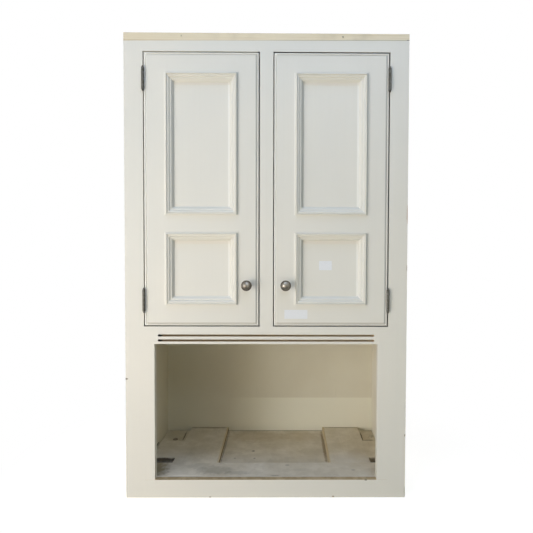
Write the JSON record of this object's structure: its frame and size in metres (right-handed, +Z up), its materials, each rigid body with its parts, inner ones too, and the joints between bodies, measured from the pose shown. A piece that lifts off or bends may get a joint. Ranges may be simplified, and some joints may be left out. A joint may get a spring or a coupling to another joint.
{
  "type": "kitchen wall cabinet",
  "caption": "Painted kitchen wall cabinet: face frame with inset moulded doors on butt hinges, over an open appliance bay with vent slots above it.",
  "frame": {"origin": "middle of the footprint, on the underside", "axes": "+X to the right when facing the doors, +Y from the doors to the wall, +Z up"},
  "size_m": [0.8, 0.435, 1.3185],
  "materials": {
    "cream_paint": "satin cream paint on timber",
    "inner_paint": "matt cream lacquer on board",
    "raw_pine": "bare sawn pine",
    "packing_board": "bare board, dusty",
    "aged_steel": "aged steel",
    "pewter": "satin pewter",
    "zinc_steel": "zinc plated",
    "catch_plastic": "moulded",
    "label_paper": "plain paper"
  },
  "bodies": {
    "carcass": {"left_side_panel": "inner_paint", "right_side_panel": "inner_paint", "top_panel": "inner_paint", "bay_divider": "inner_paint", "base_panel": "packing_board", "back_panel": "inner_paint", "hanging_rail": "raw_pine", "middle_back_rail": "raw_pine", "lower_back_rail": "raw_pine", "left_frame_stile": "cream_paint", "right_frame_stile": "cream_paint", "frame_mullion": "cream_paint", "frame_top_rail": "cream_paint", "frame_middle_rail": "cream_paint", "frame_bottom_rail": "cream_paint", "left_bay_infill": "cream_paint", "right_bay_infill": "cream_paint", "cornice_batten": "raw_pine", "batten_screws": "aged_steel", "upper_shelf": "inner_paint", "lower_shelf": "inner_paint", "shelf_pins": "zinc_steel", "platform_front_board": "packing_board", "platform_left_board": "packing_board", "platform_right_board": "packing_board", "platform_left_block": "packing_board", "platform_right_block": "packing_board", "base_screws": "aged_steel", "frame_hinge_leaves": "aged_steel", "frame_hinge_screws": "aged_steel", "hinge_pins": "aged_steel", "door_catches": "catch_plastic"},
    "left_door": {"left_door_hinge_stile": "cream_paint", "left_door_lock_stile": "cream_paint", "left_door_top_rail": "cream_paint", "left_door_middle_rail": "cream_paint", "left_door_bottom_rail": "cream_paint", "left_door_upper_panel": "cream_paint", "left_door_lower_panel": "cream_paint", "left_door_upper_moulding": "cream_paint", "left_door_lower_moulding": "cream_paint", "left_door_hinge_leaves": "aged_steel", "left_door_hinge_screws": "aged_steel", "left_door_knob": "pewter", "left_door_knob_screw": "aged_steel", "left_door_strike": "zinc_steel"},
    "right_door": {"right_door_hinge_stile": "cream_paint", "right_door_lock_stile": "cream_paint", "right_door_top_rail": "cream_paint", "right_door_middle_rail": "cream_paint", "right_door_bottom_rail": "cream_paint", "right_door_upper_panel": "cream_paint", "right_door_lower_panel": "cream_paint", "right_door_upper_moulding": "cream_paint", "right_door_lower_moulding": "cream_paint", "right_door_hinge_leaves": "aged_steel", "right_door_hinge_screws": "aged_steel", "right_door_knob": "pewter", "right_door_knob_screw": "aged_steel", "right_door_strike": "zinc_steel"}
  },
  "joints": [
    {"name": "left_door_hinge", "type": "hinge", "parent": "carcass", "child": "left_door", "pos_m": [-0.34575, -0.1915, 0.88025], "axis": [0, 0, -1], "range_deg": [0, 170]},
    {"name": "right_door_hinge", "type": "hinge", "parent": "carcass", "child": "right_door", "pos_m": [0.34575, -0.1915, 0.88025], "axis": [0, 0, 1], "range_deg": [0, 170]}
  ]
}
